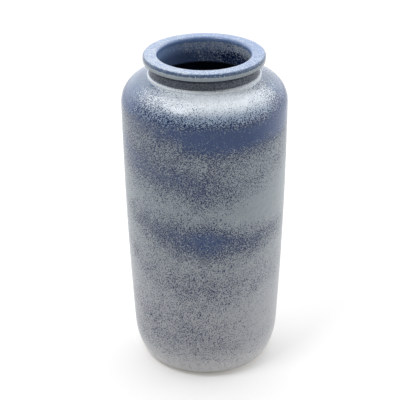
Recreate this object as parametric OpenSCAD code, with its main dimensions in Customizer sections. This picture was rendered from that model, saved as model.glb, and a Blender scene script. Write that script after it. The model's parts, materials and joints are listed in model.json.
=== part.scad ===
// Flower vase: a tall stoneware jar with a round shoulder, a short neck and a flat rolled lip.
// Millimetres, +Z up. The origin is the centre of the foot, on the surface that the vase stands on.
// One outline runs up the outside, over the lip, down the neck and round the chamber. Every part
// is a stretch of it turned about Z, so the clay and its two glaze coats share their faces exactly.

/* [Overall] */
// Height from the foot to the top of the lip
height = 366; // [320:1:420]
// Widest diameter, over the glaze
body_d = 180; // [176:1:190]
// Thickness of the clay wall
wall_t = 7; // [5:0.5:9]
// Thickness of the clay floor above the recess under it
floor_t = 7; // [5:0.5:8]

/* [Wall and foot] */
// Height of the upright band under the shoulder
upright_h = 21; // [5:1:60]
// Lean of the wall, from upright, where it meets the sweep near the foot
wall_lean = 2.9; // [1.5:0.1:4]
// Radius of the sweep between the wall and the heel
sweep_r = 81; // [78:1:90]
// Lean of the sweep, from upright, where it meets the heel
sweep_lean = 26; // [24:1:30]
// Radius of the heel, the rounded bottom edge
heel_r = 12; // [11:0.5:14]
// Width of the foot ring, from the middle of the heel in to the recess
foot_w = 11; // [8:0.5:14]
// Depth of the recess inside the foot ring
recess_h = 3; // [2.6:0.1:3.4]
// Radius of the inside corner between the wall and the floor
corner_r = 22; // [15:1:22]

/* [Shoulder and neck] */
// Radius of the shoulder
shoulder_r = 28; // [24:1:28]
// Slope of the shoulder where it runs in to the neck
shoulder_slope = 13; // [12:1:18]
// Thickness of the neck, over the glaze
neck_t = 9.2; // [8:0.1:9.6]
// Height of the neck between the bead and the lip
neck_h = 12.2; // [10:0.1:16]
// Height of the thin bead round the bottom of the neck
bead_h = 3.4; // [3:0.1:4]
// How far the bead stands out from the neck
bead_out = 2; // [1.6:0.1:2.4]

/* [Lip and mouth] */
// Diameter of the mouth, inside the glaze
mouth_d = 100; // [94:1:101]
// Radius of the rounded edges at the top and the bottom of the mouth
mouth_edge_r = 3; // [2:0.1:3.5]
// How far the lip stands out from the neck
lip_out = 6.3; // [5.5:0.1:8]
// Thickness of the lip
lip_h = 8.6; // [7:0.1:10]
// Radius of the lip's outer edges
lip_edge_r = 2.5; // [2:0.1:3]

/* [Glaze] */
// Thickness of the glaze coats
glaze_t = 0.5; // [0.3:0.1:0.6]
// Lean of the heel, from upright, at the glaze line, below which the clay is bare
glaze_lean = 32; // [31:1:60]

/* [Hidden] */
around = 180;                       // facets round each turned part in the preview
arc_error = 0.02;                   // furthest that an arc's straight stretches leave the arc
same_point = 0.001;                 // points closer than this are one point
cove_r = 1;                         // hollow either side of the bead
lip_cove_r = 2.5;                   // hollow under the lip
foot_edge_r = 1.5;                  // inner edge of the foot ring
recess_cove_r = 1;                  // hollow round the recess

body_r = body_d / 2;
mouth_r = mouth_d / 2;
neck_r = mouth_r + neck_t;
lip_r = neck_r + lip_out;
bead_r = bead_h / 2;
skin_t = wall_t + 2 * glaze_t;      // the wall with a coat on each side

// Direction at an angle from +R towards +Z
function toward(angle) = [cos(angle), sin(angle)];

// A rounded edge or hollow of the outline: centre, radius, first and last angle, and bulge,
// which is 1 where the centre is on the clay's side and -1 where it is on the air's side
function bend(centre, radius, from, to, bulge = 1) = [centre, radius, from, to, bulge];

// The points along a bend, moved out of the clay by grow
function along(b, grow) =
    let (
        step = 2 * acos(1 - arc_error / b[1]),
        steps = ceil(abs(b[3] - b[2]) / step),
        radius = b[1] + b[4] * grow
    )
    [for (i = [0:steps]) b[0] + radius * toward(b[2] + (b[3] - b[2]) * i / steps)];

// The points without the second of any two that coincide, as where two bends share a tangent
function distinct(points) = [
    for (i = [0:len(points) - 1])
        if (i == 0 || norm(points[i] - points[i - 1]) > same_point) points[i]
];

// The points along several bends, joined by straight stretches
function path(bends, grow) = distinct([for (b = bends) each along(b, grow)]);

function reversed(points) = [for (i = [len(points) - 1:-1:0]) points[i]];

// Lip, from its underside over to the mouth
lip_bottom_z = height - lip_h;
lip_cove = bend([neck_r + lip_cove_r, lip_bottom_z - lip_cove_r], lip_cove_r, 180, 90, -1);
lip_low_edge = bend([lip_r - lip_edge_r, lip_bottom_z + lip_edge_r], lip_edge_r, -90, 0);
lip_top_edge = bend([lip_r - lip_edge_r, height - lip_edge_r], lip_edge_r, 0, 90);
mouth_edge = bend([mouth_r + mouth_edge_r, height - mouth_edge_r], mouth_edge_r, 90, 180);

// Bead, with a hollow above it against the neck and one below it against the shoulder
bead_centre = [neck_r + bead_out - bead_r, lip_bottom_z - neck_h - bead_r];
cove_reach = bead_r + cove_r;
top_cove_turn = acos((neck_r + cove_r - bead_centre[0]) / cove_reach);
top_cove_centre = bead_centre + cove_reach * toward(top_cove_turn);
low_cove_turn = -shoulder_slope - asin((bead_r - cove_r) / cove_reach);
low_cove_centre = bead_centre + cove_reach * toward(low_cove_turn);

bead_low_cove = bend(low_cove_centre, cove_r, 270 - shoulder_slope, 180 + low_cove_turn, -1);
bead = bend(bead_centre, bead_r, low_cove_turn, top_cove_turn);
bead_top_cove = bend(top_cove_centre, cove_r, 180 + top_cove_turn, 180, -1);

// Shoulder, whose slope would touch the underside of the bead
slope_out = toward(90 - shoulder_slope);
slope_top = bead_centre - bead_r * slope_out;
shoulder_centre_r = body_r - shoulder_r;
shoulder_run = shoulder_centre_r + shoulder_r * slope_out[0] - slope_top[0];
shoulder_end_z = slope_top[1] - shoulder_run * tan(shoulder_slope);
shoulder_centre = [shoulder_centre_r, shoulder_end_z - shoulder_r * slope_out[1]];
shoulder = bend(shoulder_centre, shoulder_r, 0, 90 - shoulder_slope);

// Wall, sweep and heel. Bends that meet share a tangent there, so each centre follows from the
// one above it, and the wall's radius from the height between the upright band and the sweep.
wall_top_z = shoulder_centre[1] - upright_h;
sweep_centre_z = heel_r - glaze_t + (sweep_r - heel_r) * sin(sweep_lean);
wall_bottom_z = sweep_centre_z - sweep_r * sin(wall_lean);
wall_r = (wall_top_z - wall_bottom_z) / sin(wall_lean);
wall_centre = [body_r - wall_r, wall_top_z];
sweep_centre = wall_centre + (wall_r - sweep_r) * toward(-wall_lean);
heel_centre = sweep_centre + (sweep_r - heel_r) * toward(-sweep_lean);

wall = bend(wall_centre, wall_r, -wall_lean, 0);
sweep = bend(sweep_centre, sweep_r, -sweep_lean, -wall_lean);
glazed_heel = bend(heel_centre, heel_r, -glaze_lean, -sweep_lean);
bare_heel = bend(heel_centre, heel_r, -90, -glaze_lean);

// Chamber, a wall's thickness inside the outside
ceiling_top = slope_top - skin_t * slope_out;
throat_r = mouth_r + mouth_edge_r;
throat_drop = (throat_r - ceiling_top[0]) * tan(shoulder_slope);
throat_centre = [throat_r, ceiling_top[1] - throat_drop + mouth_edge_r / slope_out[1]];
floor_top_z = recess_h + floor_t + glaze_t;
inner_sweep_r = sweep_r - skin_t;
corner_reach = inner_sweep_r - corner_r;
corner_turn = asin((floor_top_z + corner_r - sweep_centre[1]) / corner_reach);
corner_centre = sweep_centre + corner_reach * toward(corner_turn);

throat_edge = bend(throat_centre, mouth_edge_r, 180, 270 - shoulder_slope);
inner_shoulder = bend(shoulder_centre, shoulder_r - skin_t, 90 - shoulder_slope, 0, -1);
inner_wall = bend(wall_centre, wall_r - skin_t, 0, -wall_lean, -1);
inner_sweep = bend(sweep_centre, inner_sweep_r, -wall_lean, corner_turn, -1);
inner_corner = bend(corner_centre, corner_r, corner_turn, -90, -1);

// Underside, from the recess out to the foot ring
foot_in_r = heel_centre[0] - foot_w;
recess_cove = bend([foot_in_r - recess_cove_r, recess_h - recess_cove_r], recess_cove_r, 90, 0, -1);
foot_edge = bend([foot_in_r + foot_edge_r, foot_edge_r], foot_edge_r, 180, 270);

// The outline's four stretches. Glaze covers the second and the third.
function bare(grow) = path([bare_heel], grow);

function decorated(grow) = concat(
    path([
        glazed_heel, sweep, wall, shoulder,
        bead_low_cove, bead, bead_top_cove,
        lip_cove, lip_low_edge, lip_top_edge, mouth_edge
    ], grow),
    [[mouth_r - grow, throat_centre[1]]]
);

function lined(grow) = concat(
    path([throat_edge, inner_shoulder, inner_wall, inner_sweep, inner_corner], grow),
    [[0, floor_top_z + grow]]
);

function underside() = concat([[0, recess_h]], path([recess_cove, foot_edge], 0));

module turned(points) {
    rotate_extrude($fn = around)
        polygon(distinct(points));
}

// Fired clay: wall, floor, foot ring, neck and lip in one piece
module stoneware_body() {
    color("#b3aea4")
        turned(concat(bare(-glaze_t), decorated(-glaze_t), lined(-glaze_t), underside()));
}

// Speckled blue glaze from the glaze line up, over the lip and down to the bottom of the mouth
module outer_glaze() {
    color("#6d7d9f")
        turned(concat(decorated(0), reversed(decorated(-glaze_t))));
}

// Plain liner glaze over the whole chamber, which makes it hold water
module inner_glaze() {
    color("#36435f")
        turned(concat(lined(0), reversed(lined(-glaze_t))));
}

stoneware_body();
outer_glaze();
inner_glaze();
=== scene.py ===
"""A tall stoneware flower vase in a speckled blue glaze, on a white studio floor.

Metres, +Z up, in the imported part's own frame. The clay and its two glaze coats are turned about Z from
one outline, whose height, width and mouth come from the frame. The pattern on the glaze is sprayed: pale
spots over a blue ground, laid down along a helix while the vase turned and the gun went up.
"""

import json
import math
from types import SimpleNamespace

import bpy
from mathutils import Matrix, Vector


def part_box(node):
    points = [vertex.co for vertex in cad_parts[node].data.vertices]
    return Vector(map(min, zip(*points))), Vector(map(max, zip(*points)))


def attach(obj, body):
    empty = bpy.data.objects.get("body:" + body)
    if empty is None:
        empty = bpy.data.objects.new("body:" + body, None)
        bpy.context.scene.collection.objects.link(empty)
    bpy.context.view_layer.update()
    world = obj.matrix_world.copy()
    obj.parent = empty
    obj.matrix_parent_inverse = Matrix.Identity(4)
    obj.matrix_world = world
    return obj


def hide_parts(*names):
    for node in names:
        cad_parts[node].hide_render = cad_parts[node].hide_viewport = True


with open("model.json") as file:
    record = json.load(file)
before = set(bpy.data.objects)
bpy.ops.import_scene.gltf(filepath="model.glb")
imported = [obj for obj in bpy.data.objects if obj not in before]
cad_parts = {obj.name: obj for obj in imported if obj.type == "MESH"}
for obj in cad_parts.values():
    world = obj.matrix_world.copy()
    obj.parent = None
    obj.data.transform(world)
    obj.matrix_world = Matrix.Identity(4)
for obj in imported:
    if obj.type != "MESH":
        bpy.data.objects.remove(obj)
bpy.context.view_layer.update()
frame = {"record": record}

# ---------------------------------------------------------------- sizes

MM = 0.001
_, coat_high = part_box("outer_glaze")
MOUTH = next(m for m in frame["record"]["mounts"] if m["name"] == "mouth")

HEIGHT = coat_high[2]
BODY_R = coat_high[0]
MOUTH_R = MOUTH["dims"]["r_mm"] * MM

WALL_T = 7 * MM             # clay wall
FLOOR_T = 7 * MM            # clay floor
GLAZE_T = 0.5 * MM          # each glaze coat
SKIN_T = WALL_T + 2 * GLAZE_T

UPRIGHT_H = 21 * MM         # upright band under the shoulder
WALL_LEAN = 2.9             # degrees from upright where the wall meets the sweep
SWEEP_R = 81 * MM
SWEEP_LEAN = 26             # degrees from upright where the sweep meets the heel
HEEL_R = 12 * MM
GLAZE_LEAN = 32             # degrees from upright at the glaze line
FOOT_W = 11 * MM
FOOT_EDGE_R = 1.5 * MM
RECESS_H = 3 * MM
RECESS_COVE_R = 1 * MM
CORNER_R = 22 * MM          # inside corner between wall and floor

SHOULDER_R = 28 * MM
SHOULDER_SLOPE = 13         # degrees from level
NECK_T = 9.2 * MM
NECK_H = 12.2 * MM
BEAD_H = 3.4 * MM
BEAD_OUT = 2 * MM
COVE_R = 1 * MM

LIP_OUT = 6.3 * MM
LIP_H = 8.6 * MM
LIP_EDGE_R = 2.5 * MM
LIP_COVE_R = 2.5 * MM
MOUTH_EDGE_R = 3 * MM

NECK_R = MOUTH_R + NECK_T
LIP_R = NECK_R + LIP_OUT
LIP_BOTTOM = HEIGHT - LIP_H

AROUND = 240                # segments round each turned piece
STEP = 1.8 * MM             # longest step along an outline that shows
HIDDEN_STEP = 6 * MM        # longest step where a surface lies hidden against another
LEAST_STEPS = 6             # fewest steps along a bend
SAME_POINT = 0.01 * MM      # points closer than this are one point
ON_AXIS = 0.001 * MM        # a point nearer the axis than this is a pole
SHARP_ANGLE = 50            # degrees between faces, past which an edge isn't shaded smooth

# ---------------------------------------------------------------- outline, as (radius, height) points


def toward(degrees):
    """The direction at an angle from outward towards up."""
    return Vector((math.cos(math.radians(degrees)), math.sin(math.radians(degrees))))


def bend(centre, radius, start, end, bulge=1):
    """A rounded edge or hollow. bulge is 1 with its centre on the clay's side, and -1 on the air's side."""
    return Vector(centre), radius, start, end, bulge


def along(arc, grow, step=STEP):
    """The points along a bend, moved out of the clay by grow."""
    centre, radius, start, end, bulge = arc
    steps = max(LEAST_STEPS, math.ceil(radius * abs(math.radians(end - start)) / step))
    reach = radius + bulge * grow
    return [centre + reach * toward(start + (end - start) * i / steps) for i in range(steps + 1)]


def path(bends, grow, step=STEP):
    """The points along several bends, with the straight stretches between them cut into short steps."""
    points = []
    for arc in bends:
        for point in along(arc, grow, step):
            if points:
                gap = point - points[-1]
                if gap.length < SAME_POINT:
                    continue
                cuts = math.ceil(gap.length / step)
                points += [points[-1] + gap * (i / cuts) for i in range(1, cuts)]
            points.append(point)
    return points


def straight(start, end, step=STEP):
    """The points after start on a straight line to end."""
    cuts = math.ceil((end - start).length / step)
    return [start + (end - start) * (i / cuts) for i in range(1, cuts + 1)]


lip_cove = bend((NECK_R + LIP_COVE_R, LIP_BOTTOM - LIP_COVE_R), LIP_COVE_R, 180, 90, -1)
lip_low_edge = bend((LIP_R - LIP_EDGE_R, LIP_BOTTOM + LIP_EDGE_R), LIP_EDGE_R, -90, 0)
lip_top_edge = bend((LIP_R - LIP_EDGE_R, HEIGHT - LIP_EDGE_R), LIP_EDGE_R, 0, 90)
mouth_edge = bend((MOUTH_R + MOUTH_EDGE_R, HEIGHT - MOUTH_EDGE_R), MOUTH_EDGE_R, 90, 180)

bead_r = BEAD_H / 2
bead_centre = Vector((NECK_R + BEAD_OUT - bead_r, LIP_BOTTOM - NECK_H - bead_r))
cove_reach = bead_r + COVE_R
top_cove_turn = math.degrees(math.acos((NECK_R + COVE_R - bead_centre.x) / cove_reach))
low_cove_turn = -SHOULDER_SLOPE - math.degrees(math.asin((bead_r - COVE_R) / cove_reach))
bead_low_cove = bend(
    bead_centre + cove_reach * toward(low_cove_turn), COVE_R, 270 - SHOULDER_SLOPE, 180 + low_cove_turn, -1
)
bead = bend(bead_centre, bead_r, low_cove_turn, top_cove_turn)
bead_top_cove = bend(bead_centre + cove_reach * toward(top_cove_turn), COVE_R, 180 + top_cove_turn, 180, -1)

slope_out = toward(90 - SHOULDER_SLOPE)
slope_top = bead_centre - bead_r * slope_out
slope_fall = math.tan(math.radians(SHOULDER_SLOPE))
shoulder_centre_r = BODY_R - SHOULDER_R
shoulder_run = shoulder_centre_r + SHOULDER_R * slope_out.x - slope_top.x
shoulder_centre_z = slope_top.y - shoulder_run * slope_fall - SHOULDER_R * slope_out.y
shoulder_centre = Vector((shoulder_centre_r, shoulder_centre_z))
shoulder = bend(shoulder_centre, SHOULDER_R, 0, 90 - SHOULDER_SLOPE)

wall_top = shoulder_centre.y - UPRIGHT_H
sweep_z = HEEL_R - GLAZE_T + (SWEEP_R - HEEL_R) * math.sin(math.radians(SWEEP_LEAN))
wall_bottom = sweep_z - SWEEP_R * math.sin(math.radians(WALL_LEAN))
wall_r = (wall_top - wall_bottom) / math.sin(math.radians(WALL_LEAN))
wall_centre = Vector((BODY_R - wall_r, wall_top))
sweep_centre = wall_centre + (wall_r - SWEEP_R) * toward(-WALL_LEAN)
heel_centre = sweep_centre + (SWEEP_R - HEEL_R) * toward(-SWEEP_LEAN)
wall = bend(wall_centre, wall_r, -WALL_LEAN, 0)
sweep = bend(sweep_centre, SWEEP_R, -SWEEP_LEAN, -WALL_LEAN)
glazed_heel = bend(heel_centre, HEEL_R, -GLAZE_LEAN, -SWEEP_LEAN)
bare_heel = bend(heel_centre, HEEL_R, -90, -GLAZE_LEAN)

ceiling_top = slope_top - SKIN_T * slope_out
throat_r = MOUTH_R + MOUTH_EDGE_R
throat_z = ceiling_top.y - (throat_r - ceiling_top.x) * slope_fall + MOUTH_EDGE_R / slope_out.y
floor_top = RECESS_H + FLOOR_T + GLAZE_T
inner_sweep_r = SWEEP_R - SKIN_T
corner_turn = math.degrees(math.asin((floor_top + CORNER_R - sweep_centre.y) / (inner_sweep_r - CORNER_R)))
throat_edge = bend((throat_r, throat_z), MOUTH_EDGE_R, 180, 270 - SHOULDER_SLOPE)
inner_shoulder = bend(shoulder_centre, SHOULDER_R - SKIN_T, 90 - SHOULDER_SLOPE, 0, -1)
inner_wall = bend(wall_centre, wall_r - SKIN_T, 0, -WALL_LEAN, -1)
inner_sweep = bend(sweep_centre, inner_sweep_r, -WALL_LEAN, corner_turn, -1)
inner_corner = bend(
    sweep_centre + (inner_sweep_r - CORNER_R) * toward(corner_turn), CORNER_R, corner_turn, -90, -1
)

foot_in_r = heel_centre.x - FOOT_W
recess_cove = bend((foot_in_r - RECESS_COVE_R, RECESS_H - RECESS_COVE_R), RECESS_COVE_R, 90, 0, -1)
foot_edge = bend((foot_in_r + FOOT_EDGE_R, FOOT_EDGE_R), FOOT_EDGE_R, 180, 270)


def decorated(grow, step=STEP):
    """The stretch under the outer glaze, from the glaze line over the lip to the bottom of the mouth."""
    points = path(
        [glazed_heel, sweep, wall, shoulder, bead_low_cove, bead, bead_top_cove,
         lip_cove, lip_low_edge, lip_top_edge, mouth_edge], grow, step
    )
    return points + straight(points[-1], Vector((MOUTH_R - grow, throat_z)), step)


def lined(grow, step=STEP):
    """The stretch under the liner glaze, from the bottom of the mouth to the middle of the floor."""
    points = path([throat_edge, inner_shoulder, inner_wall, inner_sweep, inner_corner], grow, step)
    return points + straight(points[-1], Vector((0, floor_top + grow)), HIDDEN_STEP)


def underside():
    """The bare stretch from the middle of the recess out to the foot ring."""
    points = path([recess_cove, foot_edge], 0)
    return [Vector((0, RECESS_H))] + straight(Vector((0, RECESS_H)), points[0]) + points[1:]


# ---------------------------------------------------------------- relief in the meshes

SINK_MOST = 0.22 * MM       # deepest dip of the soft rings
RING_PITCH = 7.5 * MM       # finger rings left on the wheel
GLAZE_ROLL = 1.5 * MM       # width over which the outer coat thins out at the glaze line
EDGE_DIP = 0.9 * GLAZE_T    # how far the coat has sunk at its lower edge
EDGE_WAVE = 0.25            # how wavy that edge is, as a share of GLAZE_ROLL
TRIM_DEPTH = 0.12 * MM      # circles left on the underside by the trimming tool
TRIM_PITCH = 2.4 * MM
TRIM_TOP = RECESS_H + 0.5 * MM

# In the waves below, an angle is multiplied only by whole numbers, so that each wave meets itself


def soft_rings(angle, z):
    """How far a thrown wall dips below its outline, from 0 to 1: faint rings and a slow wander."""
    ring = math.sin(2 * math.pi * z / RING_PITCH + angle + 0.8 * math.sin(2 * angle + 40 * z))
    wander = math.sin(3 * angle + 19 * z + 1.3) + math.sin(2 * angle - 31 * z + 0.4)
    return 0.5 + 0.2 * ring + 0.15 * wander


def coat_sink(angle, point):
    """Dip of the outer coat: the soft rings, and the roll at its wavy lower edge."""
    wave = EDGE_WAVE * (1 + math.sin(5 * angle) * math.sin(9 * angle + 1))
    past_edge = (point.y - glaze_line_z) / GLAZE_ROLL - wave
    roll = 1 - math.sqrt(max(0.0, 1 - max(0.0, 1 - past_edge) ** 2))
    return max(SINK_MOST * soft_rings(angle, point.y), EDGE_DIP * min(1.0, roll))


def liner_sink(angle, point):
    """Dip of the liner coat: the soft rings alone."""
    return SINK_MOST * soft_rings(angle, point.y)


def trimmed(angle, point):
    """Dip of the bare clay, left by the trimming tool in fine circles on the underside."""
    if point.y > TRIM_TOP:
        return 0.0
    return TRIM_DEPTH * (0.5 + 0.5 * math.sin(2 * math.pi * point.x / TRIM_PITCH + 0.3 * math.sin(angle)))


glaze_line_z = along(glazed_heel, 0)[0].y

# ---------------------------------------------------------------- meshes


def stretch(points, sink=None):
    """A stretch of outline as (point, sink) pairs. sink(angle, point) is how far the surface dips there."""
    return [(p, sink) for p in points]


def joined(*stretches):
    """Stretches end to end, each shared end taken once."""
    pairs = []
    for part in stretches:
        skip = 1 if pairs and (part[0][0] - pairs[-1][0]).length < SAME_POINT else 0
        pairs += part[skip:]
    return pairs


def turned(name, outline, body="root"):
    """A closed solid turned about Z from a loop of (point, sink) pairs with the material on its left.
    A loop that starts and ends on the axis is closed by the axis itself."""
    points = [p for p, _ in outline]
    count = len(points)
    pole = [p.x < ON_AXIS for p in points]
    ring_count = count - 1 if pole[0] else count
    vertices, starts = [], []
    for i, (p, sink) in enumerate(outline):
        starts.append(len(vertices))
        if pole[i]:
            vertices.append((0, 0, p.y))
            continue
        run = (points[(i + 1) % count] - points[i - 1]).normalized()
        outward = Vector((run.y, -run.x))
        for k in range(AROUND):
            angle = 2 * math.pi * k / AROUND
            q = p - outward * sink(angle, p) if sink else p
            vertices.append((q.x * math.sin(angle), -q.x * math.cos(angle), q.y))
    faces = []
    for i in range(ring_count):
        j = (i + 1) % count
        for k in range(AROUND):
            n = (k + 1) % AROUND
            low = [starts[i]] if pole[i] else [starts[i] + k, starts[i] + n]
            high = [starts[j]] if pole[j] else [starts[j] + n, starts[j] + k]
            faces.append(low + high)
    mesh = bpy.data.meshes.new(name)
    mesh.from_pydata(vertices, [], faces)
    mesh.shade_smooth()
    mesh.set_sharp_from_angle(angle=math.radians(SHARP_ANGLE))
    piece = bpy.data.objects.new(name, mesh)
    bpy.context.scene.collection.objects.link(piece)
    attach(piece, body)
    return piece


clay = turned("fired_clay", joined(
    stretch(underside(), trimmed),
    stretch(path([bare_heel], -GLAZE_T), trimmed),
    stretch(decorated(-GLAZE_T, HIDDEN_STEP)),
    stretch(lined(-GLAZE_T, HIDDEN_STEP)),
))
outer_coat = turned("speckled_glaze_coat", joined(
    stretch(decorated(0), coat_sink),
    stretch(decorated(-GLAZE_T, HIDDEN_STEP)[::-1]),
))
liner_coat = turned("liner_glaze_coat", joined(
    stretch(lined(-GLAZE_T, HIDDEN_STEP)[::-1]),
    stretch(lined(0), liner_sink),
))

# ---------------------------------------------------------------- node graphs


class Graph:
    """Builds a material's nodes. A socket given a number or a tuple is set, and an output is linked."""

    def __init__(self, name):
        self.material = bpy.data.materials.new(name)
        self.material.use_nodes = True
        self.tree = self.material.node_tree
        self.shader = self.tree.nodes["Principled BSDF"]

    def put(self, socket, value):
        if isinstance(value, bpy.types.NodeSocket):
            self.tree.links.new(value, socket)
        else:
            socket.default_value = value

    def add(self, kind, *inputs, **settings):
        node = self.tree.nodes.new("ShaderNode" + kind)
        for key, value in settings.items():
            setattr(node, key, value)
        for socket, value in zip(node.inputs, inputs):
            if value is not None:
                self.put(socket, value)
        return node

    def math(self, operation, a, b=0.0, c=0.0):
        return self.add("Math", a, b, c, operation=operation).outputs[0]

    def sum(self, *terms):
        total = terms[0]
        for term in terms[1:]:
            total = self.math("ADD", total, term)
        return total

    def product(self, *factors):
        total = factors[0]
        for factor in factors[1:]:
            total = self.math("MULTIPLY", total, factor)
        return total

    def centred(self, level):
        """A noise from 0 to 1, moved to lie about 0."""
        return self.math("SUBTRACT", level, 0.5)

    def blend(self, factor, a, b):
        """The number a where factor is 0 and b where it is 1."""
        return self.sum(self.product(a, self.math("SUBTRACT", 1, factor)), self.product(b, factor))

    def set_named(self, node, **sockets):
        """Puts values in a node's inputs by name, with _ for a space. None leaves one as it is."""
        for name, value in sockets.items():
            if value is not None:
                self.put(node.inputs[name.replace("_", " ")], value)

    def step(self, value, start, end):
        """0 at start and 1 at end, smooth between them."""
        node = self.add("MapRange", interpolation_type="SMOOTHSTEP", clamp=True)
        self.set_named(node, Value=value, From_Min=start, From_Max=end)
        return node.outputs["Result"]

    def noise(self, place, size, detail=0.0, roughness=0.5):
        """Noise from 0 to 1 about 0.5, whose lumps are about size metres across."""
        node = self.add("TexNoise")
        self.set_named(node, Vector=place, Scale=1 / size, Detail=detail, Roughness=roughness)
        return node.outputs["Fac"]

    def curve(self, value, stops):
        """A level that runs smoothly through (position, level) stops, each from 0 to 1."""
        ramp = self.add("ValToRGB", value)
        ramp.color_ramp.interpolation = "CARDINAL"
        elements = ramp.color_ramp.elements
        while len(elements) < len(stops):
            elements.new(0.5)
        for element, (position, level) in zip(elements, stops):
            element.position = position
            element.color = (level, level, level, 1)
        return ramp.outputs["Color"]

    def mix(self, factor, a, b):
        """The colour a where factor is 0 and b where it is 1."""
        node = self.add("Mix", data_type="RGBA")
        for socket, value in ((node.inputs[0], factor), (node.inputs[6], a), (node.inputs[7], b)):
            self.put(socket, value)
        return node.outputs[2]

    def bump(self, height, distance, strength, normal=None):
        node = self.add("Bump")
        self.set_named(node, Height=height, Distance=distance, Strength=strength, Normal=normal)
        return node.outputs["Normal"]

    def surface(self, **sockets):
        """Sets the shader's inputs, and gives the finished material."""
        for name, value in sockets.items():
            self.put(self.shader.inputs[name.replace("_", " ").title().replace("Ior", "IOR")], value)
        return self.material


def paint(piece, material, node):
    """Gives a piece its material, and hides the CAD node it stands for."""
    piece.data.materials.clear()
    piece.data.materials.append(material)
    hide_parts(node)


# ---------------------------------------------------------------- speckled glaze

GLAZE_IOR = 1.5
SPRAY_PITCH = 63 * MM       # rise of the spray gun in one turn of the vase
SPRAY_TOP = 309 * MM        # height of the bluest turn, at the front
DROOP = 25 * MM             # how much lower a turn runs at the front than at the sides
WANDER = 6 * MM             # how far the turns stray up and down
BROAD = 75 * MM             # size of the noise that they stray by
PATCH = 16 * MM             # size of the patches in the cover
SPOT = 1.05 * MM            # size of a spot
TONE = 5 * MM               # size of the lighter and darker places in the colours
PEEL = 4 * MM               # size of the ripples in the glaze's surface
GAIN = 0.42                 # turns cover into the level above which the noise makes a spot
FADE = 1 * MM               # width over which the bead and the pale band give way to what is above

# ground colours
NAVY = (0.005, 0.016, 0.070, 1)
BLUE = (0.020, 0.050, 0.145, 1)
# paler blue for the left and right sides: painted sheen
SHEEN_BLUE = (0.070, 0.110, 0.220, 1)
ROLL_BLUE = (0.060, 0.100, 0.180, 1)
# dark grey for the neck: painted shade under the lip
SHADED_NECK_GROUND = (0.042, 0.052, 0.074, 1)
# near black at the top of the neck: a painted shadow under the lip
UNDER_LIP_SHADOW = (0.016, 0.022, 0.034, 1)
SHOULDER_BLUE = (0.15, 0.21, 0.32, 1)
LIP_BLUE = (0.14, 0.225, 0.43, 1)
# the mouth's blue painted much lighter as painted light, since little light reaches into the mouth
LIT_MOUTH_BLUE = (0.20, 0.30, 0.52, 1)

# spot colours
# darker spots for the neck: painted shade under the lip
SHADED_NECK_SPOT = (0.135, 0.152, 0.180, 1)
GREY_SPOT = (0.268, 0.307, 0.335, 1)
HAZE_SPOT = (0.33, 0.41, 0.53, 1)
LOW_SPOT = (0.350, 0.364, 0.386, 1)
# light grey spots at the foot: painted light thrown up from the white floor
FLOOR_LIT_FOOT_SPOT = (0.50, 0.50, 0.51, 1)
LIP_SPOT = (0.44, 0.495, 0.56, 1)
WHITE_SPOT = (0.73, 0.78, 0.83, 1)

# The cover by pale spots on the body against height in mm: its middle value at the front, how much a turn
# of the helix takes from it or adds to it, and what is added on the right, on the left, and at both sides
COVER = [
    (0, 1.0), (30, 0.7), (80, 0.6), (130, 0.55), (180, 0.4), (230, 0.5), (270, 0.35), (310, 0.3), (340, 0.9)
]
SWING = [(0, 0.0), (150, 0.1), (190, 0.2), (240, 0.1), (290, 0.2), (310, 0.2), (330, 0.0)]
RIGHT = [(20, 0.0), (50, 0.25), (160, 0.2), (210, 0.45), (250, 0.35), (290, 0.0), (320, 0.05), (340, -0.1)]
LEFT = [(60, 0.0), (200, 0.15), (260, 0.05), (310, 0.1), (340, -0.3)]
FLANK = [(300, 0.0), (330, -0.6), (340, -0.7)]

# the cover elsewhere, the last two before what varies there is added
NECK_COVER = 0.52
# hardly any spots in the painted shadow under the lip
UNDER_LIP_SHADOW_COVER = 0.05
BEAD_COVER = 0.95
BAND_COVER = 0.92
ROLL_COVER = 0.10
TOP_COVER = 0.38
MOUTH_COVER = 0.22

BEAD_LOW = bead_centre.y - bead_r
BEAD_TOP = bead_centre.y + bead_r
BAND_TOP = LIP_BOTTOM + 4.2 * MM        # top of the pale band round the lip's edge
MOUTH_LOW = 0.9 * HEIGHT                # below the whole of the mouth's wall


def against_height(g, height, stops):
    """A value from -1 to 1 that runs through (height in mm, value) stops."""
    raised = g.curve(height, [(z * MM / HEIGHT, 0.5 + 0.5 * value) for z, value in stops])
    return g.math("MULTIPLY_ADD", raised, 2, -1)


def vase_place(g):
    """Where a point lies on the vase. right and front are how far it faces that way, from -1 to 1."""
    place = g.add("TexCoord").outputs["Object"]
    x, y, z = g.add("SeparateXYZ", place).outputs
    radius = g.math("SQRT", g.sum(g.product(x, x), g.product(y, y)))
    right = g.math("DIVIDE", x, radius)
    return SimpleNamespace(
        place=place,
        z=z,
        radius=radius,
        right=right,
        front=g.math("DIVIDE", g.math("MULTIPLY", y, -1), radius),
        right_side=g.step(right, -0.1, 0.95),
        left_side=g.step(right, 0.1, -0.8),
        sideways=g.product(right, right),
        patch=g.centred(g.noise(place, PATCH, 2)),
    )


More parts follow.
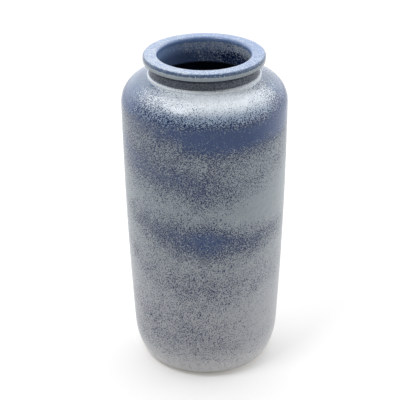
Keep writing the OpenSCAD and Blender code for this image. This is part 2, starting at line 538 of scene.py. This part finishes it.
def glaze_zones(g, at):
    """The zones above the body, each 1 inside and 0 outside. A zone may reach under those that come after it
    in cover_everywhere. The last three only matter in the mouth."""
    outside = g.step(at.radius, MOUTH_R + 0.5 * NECK_T, MOUTH_R + 0.7 * NECK_T)
    above_bead = g.step(at.z, BEAD_TOP, BEAD_TOP + FADE)
    below_lip = g.step(at.z, LIP_BOTTOM + 0.5 * MM, LIP_BOTTOM)
    neck = g.product(outside, above_bead, below_lip)
    clear_of_neck = g.step(at.radius, NECK_R + 0.5 * MM, NECK_R + 1.1 * MM)
    above_band = g.step(at.z, BAND_TOP, BAND_TOP + FADE)
    within_bore = g.step(at.radius, MOUTH_R + 1.2 * MM, MOUTH_R + 0.3 * MM)
    return SimpleNamespace(
        neck=neck,
        # the top of the neck, where the shadow under the lip is painted
        under_lip_shadow=g.product(neck, g.step(at.z, LIP_BOTTOM - 5 * MM, LIP_BOTTOM - 2 * MM)),
        on_bead=g.product(clear_of_neck, g.step(at.z, BEAD_LOW - 0.6 * MM, BEAD_LOW + 0.4 * MM)),
        lip_side=g.step(at.z, LIP_BOTTOM - 0.3 * MM, LIP_BOTTOM + 0.5 * MM),
        above_band=above_band,
        on_top=g.product(above_band, g.step(at.radius, LIP_R - 0.6 * MM, LIP_R - 2.4 * MM)),
        in_mouth=g.product(within_bore, g.step(at.z, MOUTH_LOW, MOUTH_LOW + 0.01 * HEIGHT)),
        # deep in the mouth, where it is painted darker and with fewer spots as shade
        deep=g.step(at.z, HEIGHT - 9 * MM, HEIGHT - 20 * MM),
        mouth_edge=g.step(at.z, HEIGHT - 6.5 * MM, HEIGHT - 4 * MM),
        specked=g.step(at.right, -0.85, -0.2),
    )


def spray_helix(g, at):
    """1 in the middle of a blue turn of the spray and -1 midway between two turns."""
    strayed = g.sum(
        at.z,
        g.product(g.centred(g.noise(at.place, BROAD, 1)), 4 * WANDER),
        g.product(g.math("SUBTRACT", at.front, 1), DROOP),
    )
    turn = g.math("MULTIPLY", g.math("SUBTRACT", strayed, SPRAY_TOP), 2 * math.pi / SPRAY_PITCH)
    return g.math(
        "SUBTRACT", g.product(g.math("COSINE", turn), at.front), g.product(g.math("SINE", turn), at.right)
    )


def cover_on_body(g, at):
    height = g.math("DIVIDE", at.z, HEIGHT)
    less_on_left = g.math("MULTIPLY_ADD", at.left_side, -0.4, 1.0)
    swing = g.product(against_height(g, height, SWING), less_on_left)
    return g.sum(
        g.math("SUBTRACT", against_height(g, height, COVER), g.product(swing, spray_helix(g, at))),
        g.product(against_height(g, height, RIGHT), at.right_side),
        g.product(against_height(g, height, LEFT), at.left_side),
        g.product(against_height(g, height, FLANK), g.math("POWER", at.sideways, 3)),
        g.product(at.patch, 0.25),
    )


def cover_everywhere(g, at, zone, body_cover):
    """The cover from the body over the bead, neck and lip and down into the mouth."""
    top_cover = g.sum(
        TOP_COVER, g.product(at.front, 0.12), g.product(at.right, -0.12), g.product(at.patch, 0.5)
    )
    mouth_cover = g.sum(
        MOUTH_COVER,
        g.product(zone.specked, 0.30),
        g.product(at.right, 0.08),
        g.product(at.patch, 0.4),
        # fewer spots deeper in the mouth: painted shade
        g.product(zone.deep, -0.30),
        g.product(zone.mouth_edge, -0.5),
    )
    cover = body_cover
    for inside, zone_cover in (
        (zone.neck, NECK_COVER),
        # nearly no spots in the painted shadow under the lip
        (zone.under_lip_shadow, UNDER_LIP_SHADOW_COVER),
        (zone.on_bead, BEAD_COVER),
        (zone.lip_side, BAND_COVER),
        (zone.above_band, ROLL_COVER),
        (zone.on_top, top_cover),
        (zone.in_mouth, mouth_cover),
    ):
        cover = g.blend(inside, cover, zone_cover)
    return cover


def ground_colour(g, at, zone, body_cover):
    """The blue under the spots: darker where they lie thick, paler on the shoulder and lip, and paler at the
    left and right sides as painted sheen.
    """
    # the ground turns paler towards the left and right sides, a painted sheen
    blue = g.mix(g.step(at.sideways, 0.20, 0.88), BLUE, SHEEN_BLUE)
    ground = g.mix(g.step(body_cover, 0.54, 0.14), NAVY, blue)
    # darker on the right and among the specks, and darker deep in the mouth as painted shade
    darkness = g.sum(g.product(at.right_side, 0.5), g.product(zone.specked, 0.25), g.product(zone.deep, 0.5))
    # pale blue high in the mouth is painted light, giving way to navy as painted shade lower down
    mouth_ground = g.mix(darkness, LIT_MOUTH_BLUE, NAVY)
    mouth_ground = g.mix(zone.mouth_edge, mouth_ground, LIP_BLUE)
    for inside, colour in (
        (g.step(at.z, 325 * MM, 340 * MM), SHOULDER_BLUE),
        # the neck's ground painted dark as shade under the lip
        (zone.neck, SHADED_NECK_GROUND),
        (zone.above_band, ROLL_BLUE),
        (zone.on_top, LIP_BLUE),
        # near black at the top of the neck: painted shadow under the lip
        (zone.under_lip_shadow, UNDER_LIP_SHADOW),
        (zone.in_mouth, mouth_ground),
    ):
        ground = g.mix(inside, ground, colour)
    return ground


def spot_colour(g, at, zone):
    """The pale spots: greyer and lighter towards the foot, lightest at the foot as painted light thrown up
    from the floor, and lighter on the shoulder and the lip.
    """
    spots = g.mix(g.step(at.z, 0.2 * HEIGHT, 0.6 * HEIGHT), LOW_SPOT, GREY_SPOT)
    for inside, colour in (
        # lighter spots at the foot, painted light from the floor
        (g.step(at.z, 50 * MM, 10 * MM), FLOOR_LIT_FOOT_SPOT),
        (g.step(at.z, 312 * MM, 322 * MM), HAZE_SPOT),
        (g.step(at.z, 324 * MM, 337 * MM), WHITE_SPOT),
        (g.math("SUBTRACT", zone.lip_side, zone.above_band), GREY_SPOT),
        # the neck's spots painted dark as shade under the lip
        (zone.neck, SHADED_NECK_SPOT),
        (g.math("MAXIMUM", zone.on_top, zone.in_mouth), LIP_SPOT),
    ):
        spots = g.mix(inside, spots, colour)
    return spots


def speckled_glaze():
    """Pale spots, which are fine lumps of noise that stand above a level set by the cover, over blue."""
    g = Graph("speckled_glaze")
    at = vase_place(g)
    zone = glaze_zones(g, at)
    body_cover = cover_on_body(g, at)
    cover = cover_everywhere(g, at, zone, body_cover)

    level = g.sum(g.noise(at.place, SPOT, 1.5, 0.6), g.product(g.centred(cover), GAIN))
    spots = g.step(level, 0.475, 0.525)
    softer_on_top = g.blend(zone.on_top, spots, g.step(level, 0.30, 0.70))
    colour = g.mix(softer_on_top, ground_colour(g, at, zone, body_cover), spot_colour(g, at, zone))

    tone = g.centred(g.noise(at.place, TONE, 2))
    shaded = g.add("VectorMath", colour, operation="SCALE")
    g.set_named(shaded, Scale=g.math("MULTIPLY_ADD", tone, 0.4, 1.0))
    orange_peel = g.bump(g.noise(at.place, PEEL, 1), 0.10 * MM, 0.5)
    return g.surface(
        base_color=shaded.outputs[0],
        roughness=g.sum(0.22, g.product(spots, 0.10), g.product(tone, 0.1)),
        ior=GLAZE_IOR,
        # the neck's reflection is turned down, as part of its painted shade
        specular_ior_level=g.math("MULTIPLY_ADD", zone.neck, -0.27, 0.42),
        normal=g.bump(level, 0.06 * MM, 0.6, orange_peel),
    )


paint(outer_coat, speckled_glaze(), "outer_glaze")

# ---------------------------------------------------------------- liner glaze and clay


LINER_DARK = (0.020, 0.032, 0.060, 1)
LINER_LIGHT = (0.060, 0.085, 0.140, 1)
LINER_FLECK = (0.16, 0.19, 0.24, 1)
CLAY_DARK = (0.40, 0.365, 0.31, 1)
CLAY_LIGHT = (0.54, 0.50, 0.44, 1)
IRON_FLECK = (0.11, 0.075, 0.05, 1)
CLAY_IOR = 1.5


def liner_glaze():
    """Plain dark glaze, a little clouded, with a few pale flecks."""
    g = Graph("liner_glaze")
    place = g.add("TexCoord").outputs["Object"]
    cloud = g.noise(place, 30 * MM, 3)
    fleck = g.step(g.noise(place, 2.5 * MM, 1), 0.66, 0.72)
    return g.surface(
        base_color=g.mix(g.product(fleck, 0.5), g.mix(cloud, LINER_DARK, LINER_LIGHT), LINER_FLECK),
        roughness=g.sum(0.28, g.product(cloud, 0.15)),
        ior=GLAZE_IOR,
        normal=g.bump(g.noise(place, 6 * MM, 1), 0.15 * MM, 0.4),
    )


def bare_stoneware():
    """Buff clay with a rough grain and flecks of iron."""
    g = Graph("bare_stoneware")
    place = g.add("TexCoord").outputs["Object"]
    body = g.noise(place, 12 * MM, 4)
    grog = g.noise(place, 0.9 * MM, 1)
    iron = g.step(g.noise(place, 1.8 * MM), 0.70, 0.76)
    return g.surface(
        base_color=g.mix(g.product(iron, 0.75), g.mix(body, CLAY_DARK, CLAY_LIGHT), IRON_FLECK),
        roughness=g.sum(0.82, g.product(body, 0.12)),
        ior=CLAY_IOR,
        normal=g.bump(grog, 0.12 * MM, 0.7),
    )


paint(liner_coat, liner_glaze(), "inner_glaze")
paint(clay, bare_stoneware(), "stoneware_body")

# ---------------------------------------------------------------- studio

FLOOR_HALF = 6.0                # half the side of the square floor
FLOOR_GREY = (0.74, 0.74, 0.74, 1)
FLOOR_GLOW = 0.2
WHITE = (1, 1, 1, 1)
BRIGHT_SIDE = (0.25, 0.97, 0)   # behind the vase and a little to the right
ROOM_DIM, ROOM_BRIGHT = 0.03, 1.70
DIM_BELOW, BRIGHT_ABOVE = -0.7, 0.35    # how far a direction points to the bright side, from -1 to 1
BACKDROP = 1.0
KEY_PLACE = (-0.9, -0.7, 2.2)
KEY_TARGET = (0, 0, 0.2)
KEY_SIZE = 0.7
KEY_WATTS = 21

scene = bpy.context.scene
scene.view_settings.view_transform = "Standard"

floor_mesh = bpy.data.meshes.new("floor")
floor_mesh.from_pydata(
    [(sx * FLOOR_HALF, sy * FLOOR_HALF, 0) for sx, sy in ((-1, -1), (1, -1), (1, 1), (-1, 1))],
    [],
    [(0, 1, 2, 3)],
)
floor = bpy.data.objects.new("floor", floor_mesh)
scene.collection.objects.link(floor)
floor.data.materials.append(Graph("white_floor").surface(
    base_color=FLOOR_GREY, roughness=0.9, emission_color=WHITE, emission_strength=FLOOR_GLOW
))


def light_room():
    """A white room that is bright behind the vase and dim on the camera's side, which lights the vase.
    Seen directly, it is a plain white backdrop."""
    world = bpy.data.worlds.new("studio")
    scene.world = world
    world.use_nodes = True
    nodes = world.node_tree.nodes
    link = world.node_tree.links.new
    facing = nodes.new("ShaderNodeVectorMath")
    facing.operation = "DOT_PRODUCT"
    facing.inputs[1].default_value = BRIGHT_SIDE
    link(nodes.new("ShaderNodeTexCoord").outputs["Generated"], facing.inputs[0])
    strength = nodes.new("ShaderNodeMapRange")
    strength.interpolation_type = "SMOOTHSTEP"
    strength.inputs["From Min"].default_value = DIM_BELOW
    strength.inputs["From Max"].default_value = BRIGHT_ABOVE
    strength.inputs["To Min"].default_value = ROOM_DIM
    strength.inputs["To Max"].default_value = ROOM_BRIGHT
    link(facing.outputs["Value"], strength.inputs["Value"])
    seen = nodes.new("ShaderNodeMix")
    link(nodes.new("ShaderNodeLightPath").outputs["Is Camera Ray"], seen.inputs["Factor"])
    link(strength.outputs["Result"], seen.inputs["A"])
    seen.inputs["B"].default_value = BACKDROP
    link(seen.outputs["Result"], nodes["Background"].inputs["Strength"])
    nodes["Background"].inputs["Color"].default_value = WHITE


def hang_key_light():
    """A square softbox at the front left, high up, aimed at the vase."""
    light = bpy.data.lights.new("key_softbox", "AREA")
    light.energy = KEY_WATTS
    light.size = KEY_SIZE
    lamp = bpy.data.objects.new("key_softbox", light)
    lamp.location = KEY_PLACE
    lamp.rotation_euler = (Vector(KEY_TARGET) - Vector(KEY_PLACE)).to_track_quat("-Z", "Y").to_euler()
    scene.collection.objects.link(lamp)


light_room()
hang_key_light()

# ---------------------------------------------------------------- camera, in front of the vase and above it

CAMERA_PLACE = (0, -1.104, 0.767)
CAMERA_DOWN = 27.6      # degrees below level
CAMERA_TURN = 0.3       # degrees to the left
CAMERA_ROLL = -0.5      # degrees about its own line of sight
CAMERA_LENS = 99        # mm
SENSOR_WIDTH = 36       # mm

camera = bpy.data.objects.new("camera", bpy.data.cameras.new("camera"))
camera.data.lens = CAMERA_LENS
camera.data.sensor_width = SENSOR_WIDTH
camera.rotation_mode = "XYZ"
down = math.radians(CAMERA_DOWN)
turned_left = math.radians(CAMERA_TURN)
ahead = Vector((
    -math.sin(turned_left) * math.cos(down), math.cos(turned_left) * math.cos(down), -math.sin(down)
))
camera.matrix_world = ahead.to_track_quat("-Z", "Y").to_matrix().to_4x4()
camera.location = CAMERA_PLACE
camera.rotation_euler.rotate_axis("Z", math.radians(CAMERA_ROLL))
scene.collection.objects.link(camera)
scene.camera = camera
